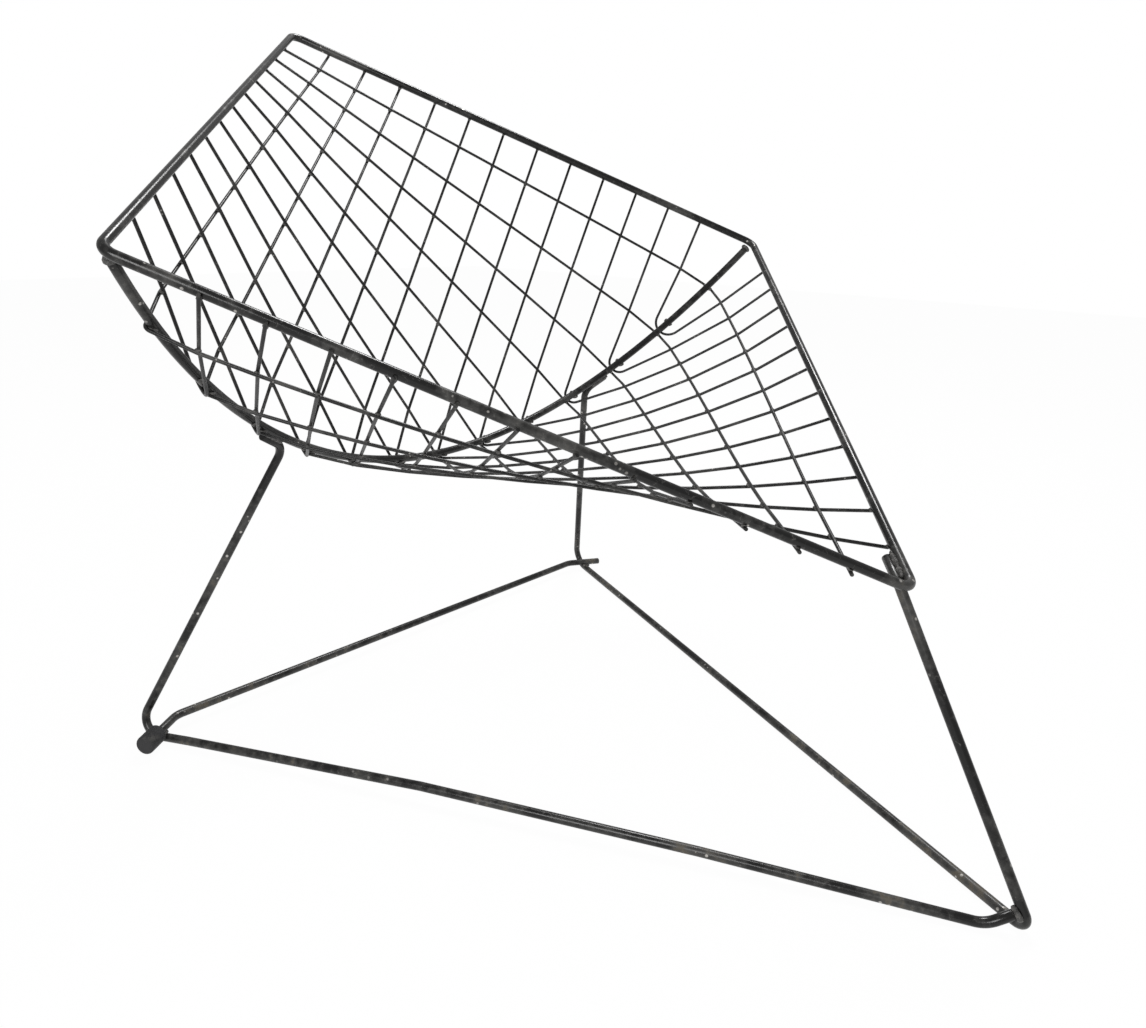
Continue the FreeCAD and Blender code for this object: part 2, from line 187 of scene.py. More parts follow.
def straightCrossing(corner, leftShare, rightShare, leftNumber, rightNumber):
    leftStart = corner + (leftCorner - corner) * leftShare
    rightStart = corner + (rightCorner - corner) * rightShare
    leftWay = arcPoint(hookPlace(leftNumber)) - leftStart
    rightWay = arcPoint(-hookPlace(rightNumber)) - rightStart
    gap = rightStart - leftStart
    normal = leftWay.cross(rightWay)
    alongLeft = gap.cross(rightWay).dot(normal) / normal.dot(normal)
    alongRight = gap.cross(leftWay).dot(normal) / normal.dot(normal)
    return (leftStart + leftWay * alongLeft + rightStart + rightWay * alongRight) / 2


def backCrossing(left, right):
    return straightCrossing(backCorner, backShare(left), backShare(right), left, right)


def seatCrossing(left, right):
    leftShare = left / (wireCount + 2)
    rightShare = right / (wireCount + 2)
    weight = sagPeak * leftShare * rightShare * (1 - leftShare - rightShare)
    bulge = sagWay * netValues["sag"] - across * (netValues["spread"] * (leftShare - rightShare))
    return straightCrossing(frontCorner, frontShare(left), frontShare(right), left, right) + bulge * weight


def awayFromSitter(normal):
    return normal.normalized() * (1 if normal.dot(outward) > 0 else -1)


def lifted(crossing, left, right, lift):
    ownWay = crossing(left + nearby, right) - crossing(left - nearby, right)
    otherWay = crossing(left, right + nearby) - crossing(left, right - nearby)
    return crossing(left, right) + awayFromSitter(ownWay.cross(otherWay)) * lift


def wireRoute(number, outerLayer):
    lift = touch + layer * outerLayer
    others = range(1, wireCount + 2 - number)
    backNodes = [lifted(backCrossing, number, other, lift) for other in others]
    seatNodes = [lifted(seatCrossing, number, other, lift) for other in reversed(others)]
    hookAt = hookPlace(number) - layer / 2
    lowest = arcPoint(hookAt)
    barWay = arcTangent(hookAt)
    ends = []
    for corner, share, node in ((backCorner, backShare(number), backNodes[0]),
                                (frontCorner, frontShare(number), seatNodes[-1])):
        onRim = corner + (leftCorner - corner) * share
        side = awayFromSitter((leftCorner - corner).cross(node - onRim))
        end = onRim + side * touch
        ends.append((end, (end - node).normalized(), onRim + side * barRadius))
    vertex = lowest
    for _ in range(netValues["hookRounds"]):
        into = (vertex - backNodes[-1]).normalized()
        away = (seatNodes[0] - vertex).normalized()
        peakWay = (into - away).normalized()
        throughWay = (into + away).normalized()
        lean = math.hypot(barWay.dot(peakWay), barWay.dot(throughWay))
        hookRadius = (barRadius + wireRadius) / math.sqrt(1 - lean ** 2)
        centre = lowest - barWay * (hookRadius * lean)
        turn = into.angle(away)
        vertex = centre + peakWay * (hookRadius / math.cos(turn / 2))
    hook = arcPoints(centre, peakWay, throughWay, hookRadius, turn)
    start = ends[0][0] + ends[0][1] * netValues["backOverrun"]
    finish = ends[1][0] + ends[1][1] * netValues["frontOverrun"][outerLayer]
    path = [start] + backNodes + hook + seatNodes + [finish]
    return {"path": path, "ends": ends, "hook": (centre, peakWay, throughWay)}


leftRoutes = [wireRoute(number, 0) for number in range(1, wireCount + 1)]
rightRoutes = [wireRoute(number, 1) for number in range(1, wireCount + 1)]

# Base of three bent bars

baseValues = {
    "frontFootReach": 494.5,
    "rearFootReach": 187,
    "rearFootSpread": 339.5,
    "frontBend": 9,
    "rearBend": 17,
    "legTopBend": 14,
    "legTopSpread": 234.5,
    "legTopLength": 22,
    "frontTopBend": 8,
    "frontTopStart": 6,
    "frontTopLength": 28,
    "frontTopAngle": 52,
    "kinkToFoot": 30,
    "leftRunnerEndHeight": 18.5,
    "leftRunnerBow": 9,
    "leftRunnerBowPlace": 0.4,
    "bowFullness": 0.6,  # share of the corner's height that the bow reaches
    "buttGap": 0.15,
    "kinkRadius": 24,
    "rearRunnerBehind": 173.5,
    "rearKinkSpread": 304,
    "rearLeftOverhang": 27,
    "rearLeftTurn": 32,
    "rearRightOverhang": 20,
    "rearRightTurn": 30,
}
barPitch = stockValues["barDiameter"] + weldGap


def onFloor(x, y):
    return Vector((x, wingLine + y, barRadius))


frontFoot = onFloor(0, -baseValues["frontFootReach"])
rightFoot = onFloor(baseValues["rearFootSpread"], baseValues["rearFootReach"])
runnerWay = (frontFoot - rightFoot).normalized()
topSpread = baseValues["legTopSpread"]
arcBreaks = [arcPoint(hookPlace(step / 2)) for step in range(2, 2 * (wireCount + 1) + 1)]
innerBreak = max((point for point in arcBreaks if point.x < topSpread), key=lambda point: point.x)
outerBreak = min((point for point in arcBreaks if point.x > topSpread), key=lambda point: point.x)
legWay = (outerBreak - innerBreak).normalized()
underArc = upslope.cross(legWay).normalized()
onArc = innerBreak + legWay * ((topSpread - innerBreak.x) / legWay.x)
topMiddle = onArc + underArc * barPitch
topSetback = baseValues["legTopBend"] * math.tan(legWay.angle(topMiddle - rightFoot) / 2)
legTop = topMiddle - legWay * (baseValues["legTopLength"] / 2 + topSetback)
legTopEnd = topMiddle + legWay * (baseValues["legTopLength"] / 2)

rimWay = (rightCorner - frontCorner).normalized()
inward = rimWay.cross(outward).normalized()
roundAngle = math.radians(baseValues["frontTopAngle"])
besideRim = inward * math.cos(roundAngle) + outward * math.sin(roundAngle)
besidePoint = frontCorner + besideRim * barPitch
frontTop = besidePoint + rimWay * (baseValues["frontTopStart"] - besidePoint.x / rimWay.x)
frontTopEnd = frontTop + rimWay * baseValues["frontTopLength"]
rightRodPath = bentPath(
    [legTopEnd, legTop, rightFoot, frontFoot, frontTop, frontTopEnd],
    [baseValues["legTopBend"], baseValues["rearBend"], baseValues["frontBend"], baseValues["frontTopBend"]])

leftFoot = mirrored(rightFoot)
kink = mirrored(frontFoot - runnerWay * baseValues["kinkToFoot"])
frontLegWay = (frontTop - frontFoot).normalized()
meeting = frontFoot + frontLegWay * ((baseValues["leftRunnerEndHeight"] - barRadius) / frontLegWay.z)
approach = (meeting - kink).normalized()
buttLean = abs(approach.dot(frontLegWay))
buttSetback = barRadius * (1 + buttLean) / math.sqrt(1 - buttLean ** 2) + baseValues["buttGap"]
buttEnd = meeting - approach * buttSetback
bowRise = Vector((0, 0, baseValues["leftRunnerBow"] / baseValues["bowFullness"]))
bowCorner = leftFoot + (kink - leftFoot) * baseValues["leftRunnerBowPlace"] + bowRise
bowTurn = (bowCorner - leftFoot).angle(kink - bowCorner)
bowRun = (bowCorner - leftFoot).length * 2 * (1 - baseValues["bowFullness"])
bowRadius = bowRun / math.tan(bowTurn / 2)
leftRodPath = bentPath(
    [mirrored(legTopEnd), mirrored(legTop), leftFoot, bowCorner, kink, buttEnd],
    [baseValues["legTopBend"], baseValues["rearBend"], bowRadius, baseValues["kinkRadius"]])


def rearEnd(side, sideWay, turnDegrees, overhang):
    turn = math.radians(turnDegrees)
    way = Vector((side * math.cos(turn), -math.sin(turn), 0))
    square = Vector((sideWay.y, -sideWay.x, 0))
    foot = Vector((side * rightFoot.x, rightFoot.y, barRadius))
    bend = onFloor(side * baseValues["rearKinkSpread"], baseValues["rearRunnerBehind"])
    reach = (foot - bend).dot(square) / way.dot(square)
    bend.z += sideWay.z / sideWay.y * (bend + way * reach - foot).y + barPitch
    return bend, bend + way * (reach + overhang), way, bend + way * reach


leftBend, leftEnd, leftEndWay, leftOver = rearEnd(
    -1, bowCorner - leftFoot, baseValues["rearLeftTurn"], baseValues["rearLeftOverhang"])
rightBend, rightEnd, rightEndWay, rightOver = rearEnd(
    1, runnerWay, baseValues["rearRightTurn"], baseValues["rearRightOverhang"])
rearPath = bentPath([leftEnd, leftBend, rightBend, rightEnd], [baseValues["kinkRadius"]] * 2)
print("routes of bars and wires worked out")

# Node trees, written as Python


class NodeWriter:
    def __init__(self, tree):
        self.tree = tree

    def add(self, kind, settings, inputs):
        node = self.tree.nodes.new(kind)
        for name, value in settings.items():
            setattr(node, name, value)
        for name, value in inputs.items():
            source = value.socket if isinstance(value, Signal) else value
            if isinstance(source, bpy.types.NodeSocket):
                self.tree.links.new(source, node.inputs[name])
            else:
                node.inputs[name].default_value = source
        return node

    def signal(self, kind, settings, inputs, output=0):
        return Signal(self, self.add(kind, settings, inputs).outputs[output])

    def blend(self, factor, first, second):
        inputs = {0: factor, 6: first, 7: second}
        return self.signal("ShaderNodeMix", {"data_type": "RGBA"}, inputs, 2)


class Signal:
    def __init__(self, writer, socket):
        self.writer = writer
        self.socket = socket

    def maths(self, operation, first, second):
        return self.writer.signal("ShaderNodeMath", {"operation": operation}, {0: first, 1: second})

    def __add__(self, other):
        return self.maths("ADD", self, other)

    def __radd__(self, other):
        return self.maths("ADD", other, self)

    def __sub__(self, other):
        return self.maths("SUBTRACT", self, other)

    def __rsub__(self, other):
        return self.maths("SUBTRACT", other, self)

    def __mul__(self, other):
        return self.maths("MULTIPLY", self, other)

    def __rmul__(self, other):
        return self.maths("MULTIPLY", other, self)

    def between(self, low, high):  # 0 at low, 1 at high
        return self.writer.signal("ShaderNodeMapRange", {}, {0: self, 1: low, 2: high})


# Finishes

rodFinish = {
    "lacquer": (0.0065, 0.0064, 0.0062, 1),
    "scuff": (0.13, 0.127, 0.12, 1),
    "primer": (0.1, 0.082, 0.054, 1),
    "bareSteel": (0.52, 0.5, 0.47, 1),
    "gloss": 0.2,
    "sheen": 0.32,
    "patchesPerMetre": 17,
    "finerPatches": 9,
    "grainPerMetre": 900,
    "wearHeight": 0.34,  # metres above the floor up to which feet scrape the bars
    "wearFloor": 0.01,
    "scuffRange": (0.5, 0.66),
    "scuffAmount": 1.0,
    "scuffStrength": 0.42,
    "wornRange": (0.62, 0.67),
    "wornStrength": 0.7,
    "chipCells": 7,
    "chipRange": (0.17, 0.11),
    "chipAmount": 1.0,
    "chipStrength": 0.85,
    "scratchesPerMetre": 34,
    "scratchTwist": 21,
    "scratchRange": (0.965, 0.995),
    "scratchStrength": 0.4,
    "peelHeight": 0.0002,
    "reliefStrength": 0.55,
}
wireFinish = dict(rodFinish, gloss=0.33, patchesPerMetre=30, scuffAmount=0.8, chipAmount=0.5)
weldFinish = dict(
    rodFinish,
    lacquer=(0.05, 0.049, 0.047, 1),
    scuff=(0.3, 0.29, 0.28, 1),
    gloss=0.46,
    patchesPerMetre=260,
    chipAmount=0.4,
    wearHeight=0.9,
    peelHeight=0.001)
rubberFinish = {
    "rubber": (0.017, 0.017, 0.018, 1),
    "dust": (0.11, 0.105, 0.095, 1),
    "dustRange": (0.5, 0.72),
    "dustStrength": 0.6,
    "dustPerMetre": 90,
    "grainPerMetre": 1400,
    "grainHeight": 0.00024,
    "reliefStrength": 0.6,
    "roughness": 0.62,
}


def newFinish(name):
    material = bpy.data.materials.new(name)
    material.use_nodes = True
    material.node_tree.nodes.clear()
    return material, NodeWriter(material.node_tree)


def noise(writer, place, scale, detail, seed):
    shift = (seed, seed * 2, -seed)
    moved = writer.signal("ShaderNodeVectorMath", {"operation": "ADD"}, {0: place, 1: shift})
    return writer.signal("ShaderNodeTexNoise", {}, {"Vector": moved, "Scale": scale, "Detail": detail})


def lacquerMarks(writer, finish):  # where the lacquer is scuffed, worn through, chipped and scratched
    place = writer.signal("ShaderNodeTexCoord", {}, {}, "Object")
    height = writer.signal("ShaderNodeSeparateXYZ", {}, {0: place}, "Z")
    size = finish["patchesPerMetre"]
    broad = noise(writer, place, size, 5, seed=3)
    fine = noise(writer, place, size * finish["finerPatches"], 4, seed=7)
    grain = noise(writer, place, finish["grainPerMetre"], 2, seed=1)
    nearFloor = height.between(finish["wearHeight"], finish["wearFloor"])
    scuffed = (broad * 0.7 + fine * 0.3 + nearFloor * 0.05).between(*finish["scuffRange"])
    scuffed = scuffed * finish["scuffAmount"]
    worn = (broad * 0.55 + fine * 0.45 + nearFloor * 0.06).between(*finish["wornRange"])
    worn = worn * (nearFloor * 0.55 + 0.1)
    cells = writer.signal("ShaderNodeTexVoronoi", {}, {
        "Vector": place, "Scale": size * finish["chipCells"]}, "Distance")
    chipped = cells.between(*finish["chipRange"]) * broad.between(0.5, 0.58) * finish["chipAmount"]
    scratches = writer.signal("ShaderNodeTexWave", {"bands_direction": "DIAGONAL"}, {
        "Vector": place, "Scale": finish["scratchesPerMetre"],
        "Distortion": finish["scratchTwist"], "Detail": 5, "Detail Scale": 2.4}, 1)
    scratched = scratches.between(*finish["scratchRange"]) * fine.between(0.5, 0.62) * finish["scuffAmount"]
    return scuffed, worn, chipped, scratched, fine, grain


def wornLacquer(name, finish):
    material, writer = newFinish(name)
    scuffed, worn, chipped, scratched, fine, grain = lacquerMarks(writer, finish)
    color = writer.blend(scuffed * finish["scuffStrength"], finish["lacquer"], finish["scuff"])
    color = writer.blend(worn * finish["wornStrength"], color, finish["primer"])
    color = writer.blend(scratched * finish["scratchStrength"], color, finish["scuff"])
    color = writer.blend(chipped * finish["chipStrength"], color, finish["bareSteel"])
    roughness = finish["gloss"] + scuffed * 0.16 + worn * 0.2 + grain * 0.07
    relief = grain * 0.35 + fine * 0.5 - chipped * 0.6 - worn * 0.4
    bump = writer.add("ShaderNodeBump", {}, {
        "Height": relief, "Strength": finish["reliefStrength"], "Distance": finish["peelHeight"]})
    shader = writer.add("ShaderNodeBsdfPrincipled", {}, {
        "Base Color": color, "Roughness": roughness, "Metallic": chipped * 0.8,
        "Normal": bump.outputs[0], "Specular IOR Level": finish["sheen"]})
    writer.add("ShaderNodeOutputMaterial", {}, {0: shader.outputs[0]})
    return material


def wornRubber(name, finish):
    material, writer = newFinish(name)
    place = writer.signal("ShaderNodeTexCoord", {}, {}, "Object")
    grain = noise(writer, place, finish["grainPerMetre"], 3, seed=2)
    dust = noise(writer, place, finish["dustPerMetre"], 5, seed=5)
    dusted = dust.between(*finish["dustRange"]) * finish["dustStrength"]
    color = writer.blend(dusted, finish["rubber"], finish["dust"])
    bump = writer.add("ShaderNodeBump", {}, {
        "Height": grain + dust, "Strength": finish["reliefStrength"], "Distance": finish["grainHeight"]})
    shader = writer.add("ShaderNodeBsdfPrincipled", {}, {
        "Base Color": color, "Roughness": finish["roughness"] + dust * 0.2, "Normal": bump.outputs[0]})
    writer.add("ShaderNodeOutputMaterial", {}, {0: shader.outputs[0]})
    return material


rodLacquer = wornLacquer("rodLacquer", rodFinish)
wireLacquer = wornLacquer("wireLacquer", wireFinish)
weldLacquer = wornLacquer("weldLacquer", weldFinish)
capRubber = wornRubber("capRubber", rubberFinish)
print("lacquer, weld and rubber finishes made")

# Trees that turn routes into bars and points into weld beads


def newTree(name, sockets):
    tree = bpy.data.node_groups.new(name, "GeometryNodeTree")
    tree.interface.new_socket("Geometry", in_out="OUTPUT", socket_type="NodeSocketGeometry")
    for socketName, kind in [("Geometry", "Geometry")] + sockets:
        tree.interface.new_socket(socketName, in_out="INPUT", socket_type="NodeSocket" + kind)
    writer = NodeWriter(tree)
    return tree, writer, writer.add("NodeGroupInput", {}, {}).outputs


def finishTree(writer, geometry, material):
    real = writer.add("GeometryNodeRealizeInstances", {}, {0: geometry})
    painted = writer.add("GeometryNodeSetMaterial", {}, {"Geometry": real.outputs[0], "Material": material})
    writer.add("NodeGroupOutput", {}, {0: painted.outputs[0]})


def makeBarTree():
    sockets = [("Radius", "Float"), ("Sides", "Int"), ("Finish", "Material")]
    tree, writer, inputs = newTree("barAlongRoute", sockets)
    route = writer.add("GeometryNodeMeshToCurve", {}, {0: inputs["Geometry"]})
    taper = writer.add("GeometryNodeInputNamedAttribute", {"data_type": "FLOAT"}, {"Name": "taper"})
    section = writer.add("GeometryNodeCurvePrimitiveCircle", {}, {
        "Resolution": inputs["Sides"], "Radius": inputs["Radius"]})
    bar = writer.add("GeometryNodeCurveToMesh", {}, {
        "Curve": route.outputs[0], "Profile Curve": section.outputs[0],
        "Scale": taper.outputs[0], "Fill Caps": True})
    smooth = writer.add("GeometryNodeSetShadeSmooth", {}, {"Geometry": bar.outputs[0]})
    finishTree(writer, smooth.outputs[0], inputs["Finish"])
    return tree


def makeBeadTree():
    tree, writer, inputs = newTree("weldBeads", [
        ("Segments", "Int"), ("Rings", "Int"), ("Smallest", "Float"), ("Largest", "Float"),
        ("Lumps", "Float"), ("Lumps Per Metre", "Float"), ("Seed", "Int"), ("Finish", "Material")])
    bead = writer.add("GeometryNodeMeshUVSphere", {}, {
        "Segments": inputs["Segments"], "Rings": inputs["Rings"], "Radius": 1})
    vectorName = {"data_type": "FLOAT_VECTOR"}
    long = writer.add("GeometryNodeInputNamedAttribute", vectorName, {"Name": "beadSize"})
    turn = writer.add("GeometryNodeInputNamedAttribute", vectorName, {"Name": "beadTurn"})
    vary = writer.add("FunctionNodeRandomValue", {"data_type": "FLOAT"}, {
        2: inputs["Smallest"], 3: inputs["Largest"], 8: inputs["Seed"]})
    scale = writer.add("ShaderNodeVectorMath", {"operation": "SCALE"}, {
        0: long.outputs[0], 3: vary.outputs[1]})
    placed = writer.add("GeometryNodeInstanceOnPoints", {}, {
        "Points": inputs["Geometry"], "Instance": bead.outputs[0],
        "Rotation": turn.outputs[0], "Scale": scale.outputs[0]})
    real = writer.add("GeometryNodeRealizeInstances", {}, {0: placed.outputs[0]})
    lumps = writer.add("ShaderNodeTexNoise", {}, {"Scale": inputs["Lumps Per Metre"], "Detail": 2.0})
    centred = writer.add("ShaderNodeVectorMath", {"operation": "SUBTRACT"}, {
        0: lumps.outputs[1], 1: (0.5, 0.5, 0.5)})
    shift = writer.add("ShaderNodeVectorMath", {"operation": "SCALE"}, {
        0: centred.outputs[0], 3: inputs["Lumps"]})
    rough = writer.add("GeometryNodeSetPosition", {}, {
        "Geometry": real.outputs[0], "Offset": shift.outputs[0]})
    smooth = writer.add("GeometryNodeSetShadeSmooth", {}, {"Geometry": rough.outputs[0]})
    finishTree(writer, smooth.outputs[0], inputs["Finish"])
    return tree


def grown(name, source, tree, values):
    holder = bpy.data.objects.new(name + "Route", source)
    bpy.context.scene.collection.objects.link(holder)
    modifier = holder.modifiers.new("grow", "NODES")
    modifier.node_group = tree
    for item in tree.interface.items_tree:
        if item.in_out == "INPUT" and item.name in values:
            modifier[item.identifier] = values[item.name]
    view = bpy.context.evaluated_depsgraph_get()
    mesh = bpy.data.meshes.new_from_object(holder.evaluated_get(view))
    bpy.data.objects.remove(holder)
    mesh.name = name
    piece = bpy.data.objects.new(name, mesh)
    bpy.context.scene.collection.objects.link(piece)
    return piece


def routeMesh(name, paths, closed):
    vertices = []
    edges = []
    tapers = []
    bevel = stockValues["cutBevel"]
    for path in paths:
        points = list(path)
        sizes = [1] * len(points)
        if not closed:
            points.insert(1, points[0] + (points[1] - points[0]).normalized() * bevel)
            points.insert(-1, points[-1] + (points[-2] - points[-1]).normalized() * bevel)
            sizes = [stockValues["cutTaper"]] + [1] * len(path) + [stockValues["cutTaper"]]
        first = len(vertices)
        vertices += [point * metresPerMillimetre for point in points]
        edges += [(first + index, first + index + 1) for index in range(len(points) - 1)]
        if closed:
            edges.append((first + len(points) - 1, first))
        tapers += sizes
    mesh = bpy.data.meshes.new(name)
    mesh.from_pydata(vertices, edges, [])
    mesh.attributes.new("taper", "FLOAT", "POINT").data.foreach_set("value", tapers)
    return mesh


barTree = makeBarTree()
beadTree = makeBeadTree()


def facingOut(piece):
    volume = 0
    mesh = piece.data
    mesh.calc_loop_triangles()
    for triangle in mesh.loop_triangles:
        first, second, third = (mesh.vertices[index].co for index in triangle.vertices)
        volume += first.dot(second.cross(third))
    if volume < 0:
        mesh.flip_normals()


def settle(piece, nodes):
    facingOut(piece)
    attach(piece, "root")
    if nodes:
        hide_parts(*nodes)
    print(piece.name, len(piece.data.polygons), "faces")


def barsAlong(name, paths, radius, sides, finish, closed=False):
    values = {"Radius": radius * metresPerMillimetre, "Sides": sides, "Finish": finish}
    return grown(name, routeMesh(name, paths, closed), barTree, values)


def makeBar(name, node, path, closed=False):
    piece = barsAlong(name, [path], barRadius, stockValues["barSides"], rodLacquer, closed)
    settle(piece, [node])


def makeWires(name, side, paths):
    piece = barsAlong(name, paths, wireRadius, stockValues["wireSides"], wireLacquer)
    nodes = ["%s_wire_%02d" % (side, number) for number in range(1, wireCount + 1)]
    settle(piece, nodes)


makeBar("rimFrame", "rim_frame", rimPath, closed=True)
makeBar("seatArc", "seat_arc", arcPath)
makeBar("rightSideRod", "right_side_rod", rightRodPath)
makeBar("leftSideRod", "left_side_rod", leftRodPath)
makeBar("rearRunner", "rear_runner", rearPath)
makeWires("leftWires", "left", [route["path"] for route in leftRoutes])
makeWires("rightWires", "right", [[mirrored(point) for point in route["path"]] for route in rightRoutes])

# Weld beads

weldValues = {
    "segments": 8,
    "rings": 6,
    "smallest": 0.8,
    "largest": 1.25,
    "lumps": 0.0011,
    "lumpsPerMetre": 420,
    "seed": 11,
    "crossing": (2.3, 2.3, 1.7),
    "rimEnd": (2.9, 2.0, 1.7),
    "rimEndSetback": 1.5,
    "hook": (3.0, 2.2, 1.6),
    "hookAngles": (-62, -28, 30, 64),
    "seam": (2.4, 2.0, 2.0),
    "seamStep": 2.6,
    "seamOffset": 3.0,
    "seamTrim": 1,
    "frontSeamStart": 4,
    "runnerSeamReach": 2.6,
    "ringBeads": 14,
    "arcEndInset": 0.5,
    "buttLift": 0.4,
    "hookLift": 0.4,
    "rimEndShare": 0.25,  # from the bar's skin towards the middle of the wire
}
beads = []


def addBead(place, way, size):
    turn = way.normalized().to_track_quat("X", "Z").to_euler()
    beads.append((place, tuple(turn), size))


def addSeam(start, end, side):  # a row of beads on each flank of two bars that lie side by side
    count = max(2, round((end - start).length / weldValues["seamStep"]))
    for flank in (-1, 1):
        for index in range(count + 1):
            place = start.lerp(end, index / count) + side * (flank * weldValues["seamOffset"])
            addBead(place, end - start, weldValues["seam"])


def addRing(centre, axis, radius):
    sideways = axis.orthogonal().normalized()
    other = axis.cross(sideways).normalized()
    for index in range(weldValues["ringBeads"]):
        angle = 2 * math.pi * index / weldValues["ringBeads"]
        spoke = sideways * math.cos(angle) + other * math.sin(angle)
        addBead(centre + spoke * radius, axis.cross(spoke), weldValues["seam"])


def addNetBeads(routes, side):
    for route in routes:
        centre, peakWay, throughWay = route["hook"]
        for degrees in weldValues["hookAngles"]:
            angle = math.radians(degrees)
            spoke = peakWay * math.cos(angle) + throughWay * math.sin(angle)
            along = throughWay * math.cos(angle) - peakWay * math.sin(angle)
            place = centre + spoke * (barRadius + weldValues["hookLift"])
            addBead(side(place), side(along), weldValues["hook"])
        for end, way, contact in route["ends"]:
            place = contact.lerp(end, weldValues["rimEndShare"]) - way * weldValues["rimEndSetback"]
            addBead(side(place), side(way), weldValues["rimEnd"])


def sameSide(point):
    return point


addNetBeads(leftRoutes, sameSide)
addNetBeads(rightRoutes, mirrored)
for leftNumber in range(1, wireCount + 1):
    for rightNumber in range(1, wireCount + 2 - leftNumber):
        for crossing in (backCrossing, seatCrossing):
            place = lifted(crossing, leftNumber, rightNumber, touch + layer / 2)
            addBead(place, across, weldValues["crossing"])

seamSide = legWay.cross(underArc).normalized()
contactMiddle = onArc + underArc * (barPitch / 2)
halfSeam = legWay * (baseValues["legTopLength"] / 2 - weldValues["seamTrim"])
addSeam(contactMiddle - halfSeam, contactMiddle + halfSeam, seamSide)
addSeam(mirrored(contactMiddle - halfSeam), mirrored(contactMiddle + halfSeam), mirrored(seamSide))
frontSide = rimWay.cross(besideRim).normalized()
halfGap = besideRim * (barPitch / 2)
seamStart = frontTop - halfGap + rimWay * weldValues["frontSeamStart"]
addSeam(seamStart, frontTopEnd - halfGap, frontSide)
addRing(buttEnd + approach * weldValues["buttLift"], approach, barRadius)
for end, way in ((arcPath[0], arcTangent(arcReach)), (arcPath[-1], -arcTangent(-arcReach))):
    addRing(end, way, barRadius - weldValues["arcEndInset"])
for over, way in ((leftOver, leftEndWay), (rightOver, rightEndWay)):
    contact = over - upright * (barPitch / 2)
    square = upright.cross(way).normalized()
    halfCrossing = way * weldValues["runnerSeamReach"]
    addSeam(contact - halfCrossing, contact + halfCrossing, square)


def makeBeads():
    mesh = bpy.data.meshes.new("weldPoints")
    mesh.from_pydata([place * metresPerMillimetre for place, _, _ in beads], [], [])
    sizes = [length * metresPerMillimetre for _, _, size in beads for length in size]
    turns = [angle for _, turn, _ in beads for angle in turn]
    mesh.attributes.new("beadSize", "FLOAT_VECTOR", "POINT").data.foreach_set("vector", sizes)
    mesh.attributes.new("beadTurn", "FLOAT_VECTOR", "POINT").data.foreach_set("vector", turns)
    values = {
        "Segments": weldValues["segments"],
        "Rings": weldValues["rings"],
        "Smallest": weldValues["smallest"],
        "Largest": weldValues["largest"],
        "Lumps": weldValues["lumps"],
        "Lumps Per Metre": weldValues["lumpsPerMetre"],
        "Seed": weldValues["seed"],
        "Finish": weldLacquer,
    }
    settle(grown("weldBeads", mesh, beadTree, values), [])


makeBeads()

# Rubber cap on the left end of the rear runner

capValues = {"diameter": 18, "grip": 20, "wall": 3, "edge": 2, "lip": 0.6, "sides": 48, "edgeSteps": 5}


def makeCap():
    outer = capValues["diameter"] / 2
    bore = barRadius + weldGap
    edge = capValues["edge"]
    top = capValues["wall"]
    foot = -capValues["grip"]
    profile = [(bore, 0), (bore, foot + capValues["lip"]), (bore + capValues["lip"], foot)]
    for centreHeight, startAngle in ((foot + edge, -90), (top - edge, 0)):
        for index in range(capValues["edgeSteps"] + 1):
            angle = math.radians(startAngle + 90 * index / capValues["edgeSteps"])
            radius = outer - edge + edge * math.cos(angle)
            profile.append((radius, centreHeight + edge * math.sin(angle)))
    sides = capValues["sides"]
    sideways = leftEndWay.orthogonal().normalized()
    other = leftEndWay.cross(sideways).normalized()
    vertices = []
    for radius, height in profile:
        for index in range(sides):
            angle = 2 * math.pi * index / sides
            spoke = sideways * math.cos(angle) + other * math.sin(angle)
            vertices.append(leftEnd + leftEndWay * (height + weldGap) + spoke * radius)
    faces = [list(range(sides)), list(range(len(vertices) - sides, len(vertices)))[::-1]]
    for ring in range(len(profile) - 1):
        for index in range(sides):
            after = (index + 1) % sides
            low = ring * sides
            faces.append([low + after, low + index, low + sides + index, low + sides + after])
    mesh = bpy.data.meshes.new("endCap")
    mesh.from_pydata([vertex * metresPerMillimetre for vertex in vertices], [], faces)
    mesh.polygons.foreach_set("use_smooth", [len(face) == 4 for face in faces])
    mesh.materials.append(capRubber)
    piece = bpy.data.objects.new("endCap", mesh)
    bpy.context.scene.collection.objects.link(piece)
    settle(piece, ["end_cap"])


makeCap()
print("chair dressed")

# Floor, light and camera

floorValues = {"size": 12, "color": (0.86, 0.86, 0.86, 1), "whiteness": 0.97}
lightValues = {
    "surroundings": 0.5,
    "key": {"place": (1.0, 0.45, 2.3), "aim": (0, 0.05, 0.35), "width": 0.6, "power": 34},
    "side": {"place": (-1.9, -0.9, 1.1), "aim": (0, 0, 0.35), "width": 0.9, "power": 24},
}
cameraValues = {
    "place": (-674.6, -526.8, 490.6),
    "heading": 45.748,  # degrees from the back towards the right
    "dip": 15.351,
    "roll": 1.425,
    "focalPixels": 912.92,
    "axisAcross": 471.77,
    "axisDown": 465.59,
    "photoWidth": 1146,
    "photoHeight": 1028,
    "sensor": 36,
    "nearest": 0.01,
}


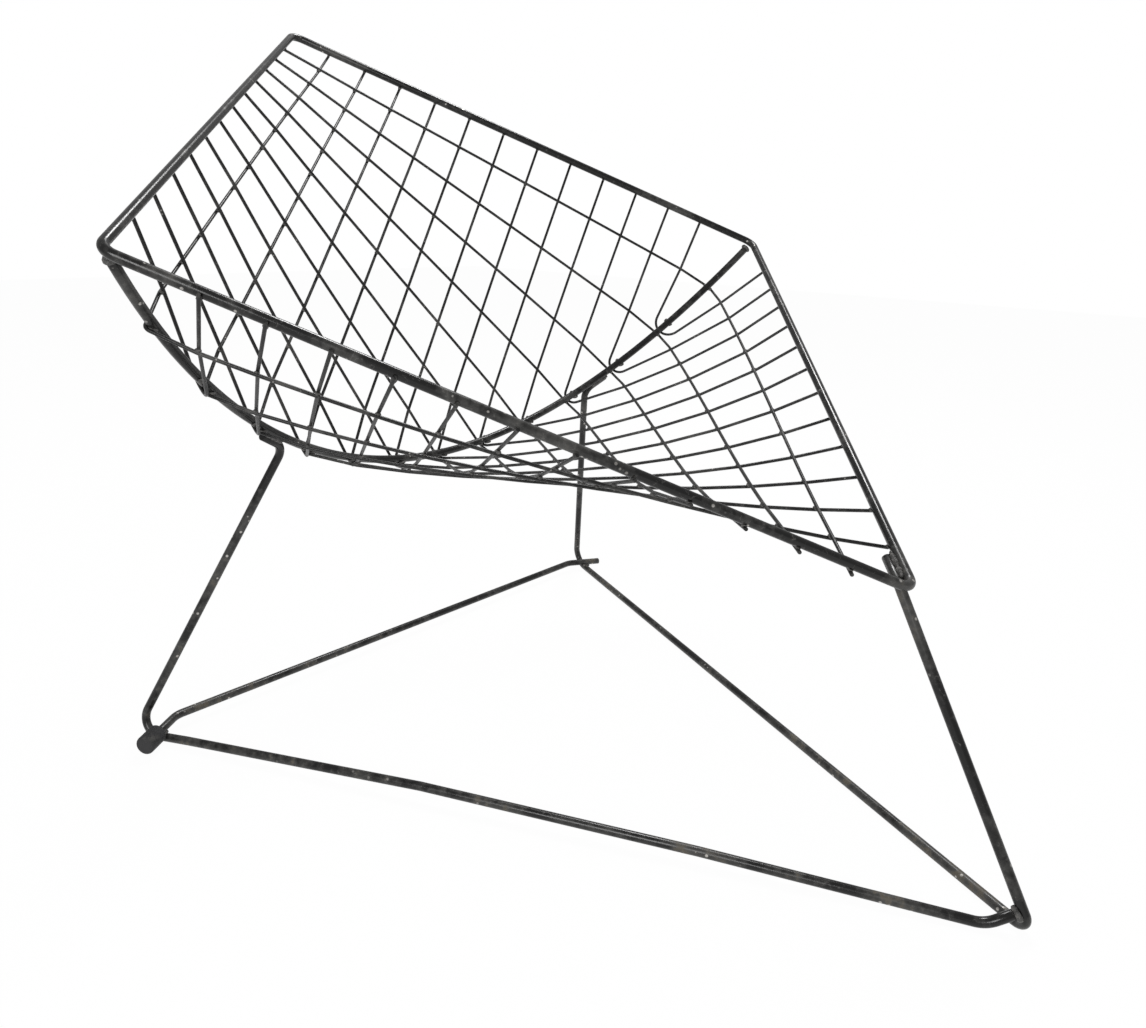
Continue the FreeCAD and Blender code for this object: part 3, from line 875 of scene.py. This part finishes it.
def makeFloor():
    half = floorValues["size"] / 2
    corners = [(-half, -half, 0), (half, -half, 0), (half, half, 0), (-half, half, 0)]
    mesh = bpy.data.meshes.new("floor")
    mesh.from_pydata(corners, [], [(0, 1, 2, 3)])
    material, writer = newFinish("paleFloor")
    path = writer.add("ShaderNodeLightPath", {}, {}).outputs
    seen = Signal(writer, path["Is Camera Ray"]) + Signal(writer, path["Is Glossy Ray"])
    seen = (seen + Signal(writer, path["Is Transmission Ray"])).between(0, 1)
    matt = writer.add("ShaderNodeBsdfDiffuse", {}, {"Color": floorValues["color"]})
    white = writer.add("ShaderNodeEmission", {}, {"Color": (1, 1, 1, 1), "Strength": 1.0})
    mixed = writer.add("ShaderNodeMixShader", {}, {
        0: seen * floorValues["whiteness"], 1: matt.outputs[0], 2: white.outputs[0]})
    writer.add("ShaderNodeOutputMaterial", {}, {0: mixed.outputs[0]})
    mesh.materials.append(material)
    floor = bpy.data.objects.new("floor", mesh)
    bpy.context.scene.collection.objects.link(floor)


def makeSurroundings():
    world = bpy.data.worlds.new("studio")
    world.use_nodes = True
    world.node_tree.nodes.clear()
    writer = NodeWriter(world.node_tree)
    path = writer.add("ShaderNodeLightPath", {}, {}).outputs
    seen = Signal(writer, path["Is Camera Ray"]) + Signal(writer, path["Is Transmission Ray"])
    level = lightValues["surroundings"]
    strength = seen.between(0, 1) * (1 - level) + level
    sky = writer.add("ShaderNodeBackground", {}, {"Color": (1, 1, 1, 1), "Strength": strength})
    writer.add("ShaderNodeOutputWorld", {}, {0: sky.outputs[0]})
    bpy.context.scene.world = world


def makeLight(name, values):
    lamp = bpy.data.lights.new(name, "AREA")
    lamp.shape = "DISK"
    lamp.size = values["width"]
    lamp.energy = values["power"]
    holder = bpy.data.objects.new(name, lamp)
    place = Vector(values["place"])
    holder.location = place
    holder.rotation_euler = (Vector(values["aim"]) - place).to_track_quat("-Z", "Y").to_euler()
    bpy.context.scene.collection.objects.link(holder)


def makeCamera():
    values = cameraValues
    heading = math.radians(values["heading"])
    dip = math.radians(values["dip"])
    roll = math.radians(values["roll"])
    level = Vector((math.cos(heading), -math.sin(heading), 0))
    ahead = Vector((math.sin(heading) * math.cos(dip), math.cos(heading) * math.cos(dip), -math.sin(dip)))
    above = level.cross(ahead)
    right = level * math.cos(roll) + above * math.sin(roll)
    up = right.cross(ahead)
    camera = bpy.data.cameras.new("photoCamera")
    camera.sensor_width = values["sensor"]
    camera.lens = values["focalPixels"] * values["sensor"] / values["photoWidth"]
    camera.shift_x = (values["photoWidth"] / 2 - values["axisAcross"]) / values["photoWidth"]
    camera.shift_y = (values["axisDown"] - values["photoHeight"] / 2) / values["photoWidth"]
    camera.clip_start = values["nearest"]
    holder = bpy.data.objects.new("photoCamera", camera)
    turned = Matrix((right, up, -ahead)).transposed().to_4x4()
    holder.matrix_world = Matrix.Translation(Vector(values["place"]) * metresPerMillimetre) @ turned
    bpy.context.scene.collection.objects.link(holder)
    bpy.context.scene.camera = holder


makeFloor()
makeSurroundings()
for lightName in ("key", "side"):
    makeLight(lightName + "Light", lightValues[lightName])
makeCamera()
bpy.context.scene.view_settings.view_transform = "Standard"
print("floor, lights and camera placed")
